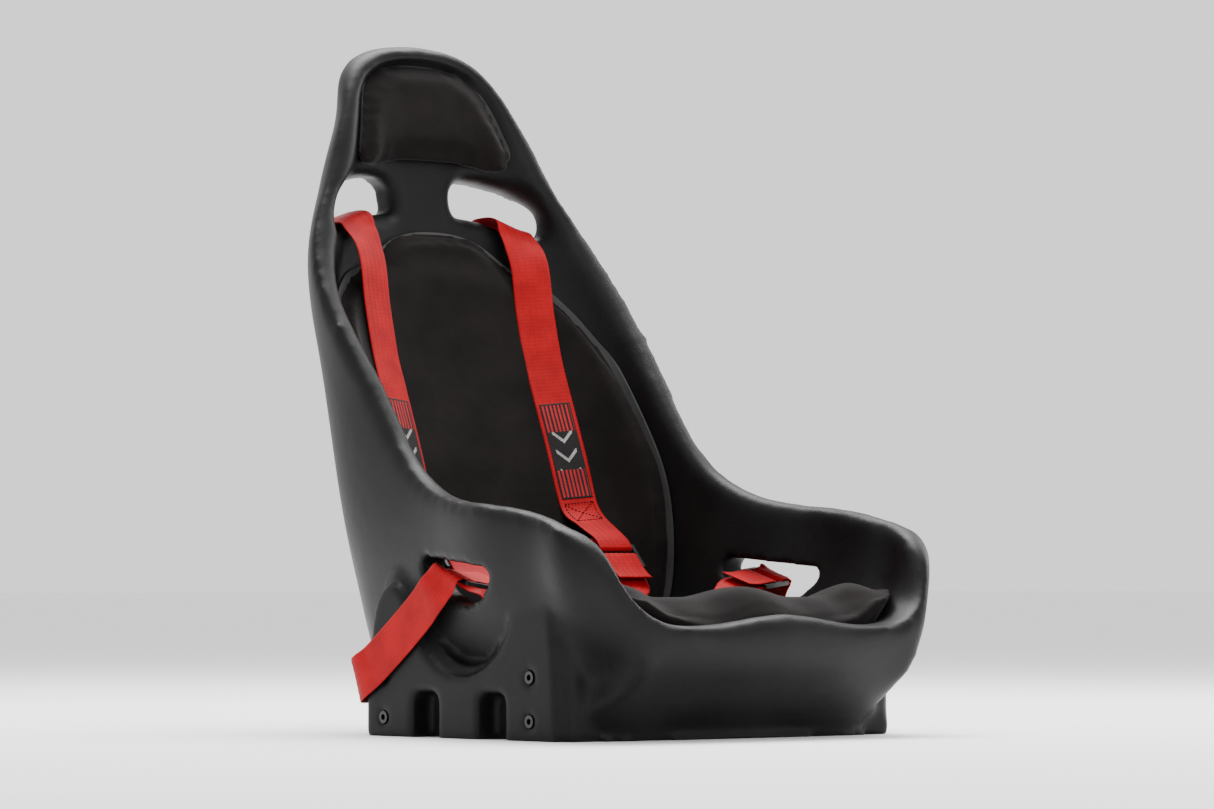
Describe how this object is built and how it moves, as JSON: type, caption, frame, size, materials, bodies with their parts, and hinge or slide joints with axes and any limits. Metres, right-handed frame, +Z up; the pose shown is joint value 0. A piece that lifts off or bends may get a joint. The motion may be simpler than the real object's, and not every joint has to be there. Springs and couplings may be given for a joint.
{
  "type": "racing seat",
  "caption": "Moulded black bucket seat with suede pads, red webbing harness through shoulder and lap openings, strap adjusters and a centre buckle.",
  "frame": {"origin": "on the floor under the middle of the base, midway between the front and rear edges of the side plates", "axes": "+Z up, +Y towards the back of the seat, +X towards the driver's left side; the driver faces -Y"},
  "size_m": [0.5478, 0.7028, 0.815],
  "materials": {
    "shell_plastic": "fine grained satin black",
    "pad_suede": "brushed suede",
    "pad_foam": "closed-cell foam",
    "backing_board": "plain sheet",
    "hook_tape": "hook-and-loop tape",
    "webbing": "ribbed webbing",
    "label_weave": "woven label",
    "adjuster_metal": "black painted",
    "buckle_metal": "black painted",
    "knob_plastic": "satin",
    "tongue_steel": "brushed",
    "insert_brass": "machined"
  },
  "bodies": {
    "seat": {"back_pad_backing": "backing_board", "back_pad_cover": "pad_suede", "back_pad_foam": "pad_foam", "back_pad_hook_strips": "hook_tape", "buckle_base": "tongue_steel", "buckle_housing": "buckle_metal", "buckle_latch_spring": "tongue_steel", "buckle_rivets": "tongue_steel", "headrest_pad_backing": "backing_board", "headrest_pad_cover": "pad_suede", "headrest_pad_foam": "pad_foam", "headrest_pad_hook_strips": "hook_tape", "lap_belt": "webbing", "lap_strap_inner_left": "webbing", "lap_strap_inner_right": "webbing", "lap_tongue_left": "tongue_steel", "lap_tongue_right": "tongue_steel", "mounting_inserts_left": "insert_brass", "mounting_inserts_right": "insert_brass", "seat_pad_backing": "backing_board", "seat_pad_cover": "pad_suede", "seat_pad_foam": "pad_foam", "seat_pad_hook_strips": "hook_tape", "seat_shell": "shell_plastic", "shoulder_strap_left": "webbing", "shoulder_strap_lower_left": "webbing", "shoulder_strap_lower_right": "webbing", "shoulder_strap_right": "webbing", "shoulder_tongue_left": "tongue_steel", "shoulder_tongue_right": "tongue_steel", "strap_label_left": "label_weave", "strap_label_right": "label_weave"},
    "knob": {"buckle_knob": "knob_plastic"},
    "latch": {"buckle_latch_plate": "tongue_steel"},
    "shoulder_adjuster_left": {"shoulder_adjuster_left": "adjuster_metal", "shoulder_strap_wrap_left": "webbing"},
    "lap_adjuster_left": {"lap_adjuster_left": "adjuster_metal", "lap_strap_wrap_left": "webbing"},
    "shoulder_adjuster_right": {"shoulder_adjuster_right": "adjuster_metal", "shoulder_strap_wrap_right": "webbing"},
    "lap_adjuster_right": {"lap_adjuster_right": "adjuster_metal", "lap_strap_wrap_right": "webbing"}
  },
  "joints": [
    {"name": "shoulder_adjuster_tilt_left", "type": "hinge", "parent": "seat", "child": "shoulder_adjuster_left", "pos_m": [0.12, 0.165, 0.213], "axis": [-1, 0, 0], "range_deg": [0, 25]},
    {"name": "lap_adjuster_tilt_left", "type": "hinge", "parent": "seat", "child": "lap_adjuster_left", "pos_m": [0.238, 0.024, 0.18], "axis": [0, 0.96, 0.28], "range_deg": [0, 15]},
    {"name": "shoulder_adjuster_tilt_right", "type": "hinge", "parent": "seat", "child": "shoulder_adjuster_right", "pos_m": [-0.12, 0.165, 0.213], "axis": [-1, 0, 0], "range_deg": [0, 25]},
    {"name": "lap_adjuster_tilt_right", "type": "hinge", "parent": "seat", "child": "lap_adjuster_right", "pos_m": [-0.238, 0.024, 0.18], "axis": [0, -0.96, -0.28], "range_deg": [0, 15]},
    {"name": "knob_turn", "type": "hinge", "parent": "seat", "child": "knob", "pos_m": [0, 0.015, 0.145], "axis": [0, 0, 1], "range_deg": [0, 40], "stiffness_Nm_per_rad": 0.01},
    {"name": "latch_lift", "type": "slide", "parent": "seat", "child": "latch", "axis": [0, 0, 1], "range_m": [0, 0.004], "deforming": ["buckle_latch_spring"]}
  ],
  "couplings": [
    {"joint": "knob_turn", "follows": "latch_lift", "rad_per_m": 174.5}
  ]
}
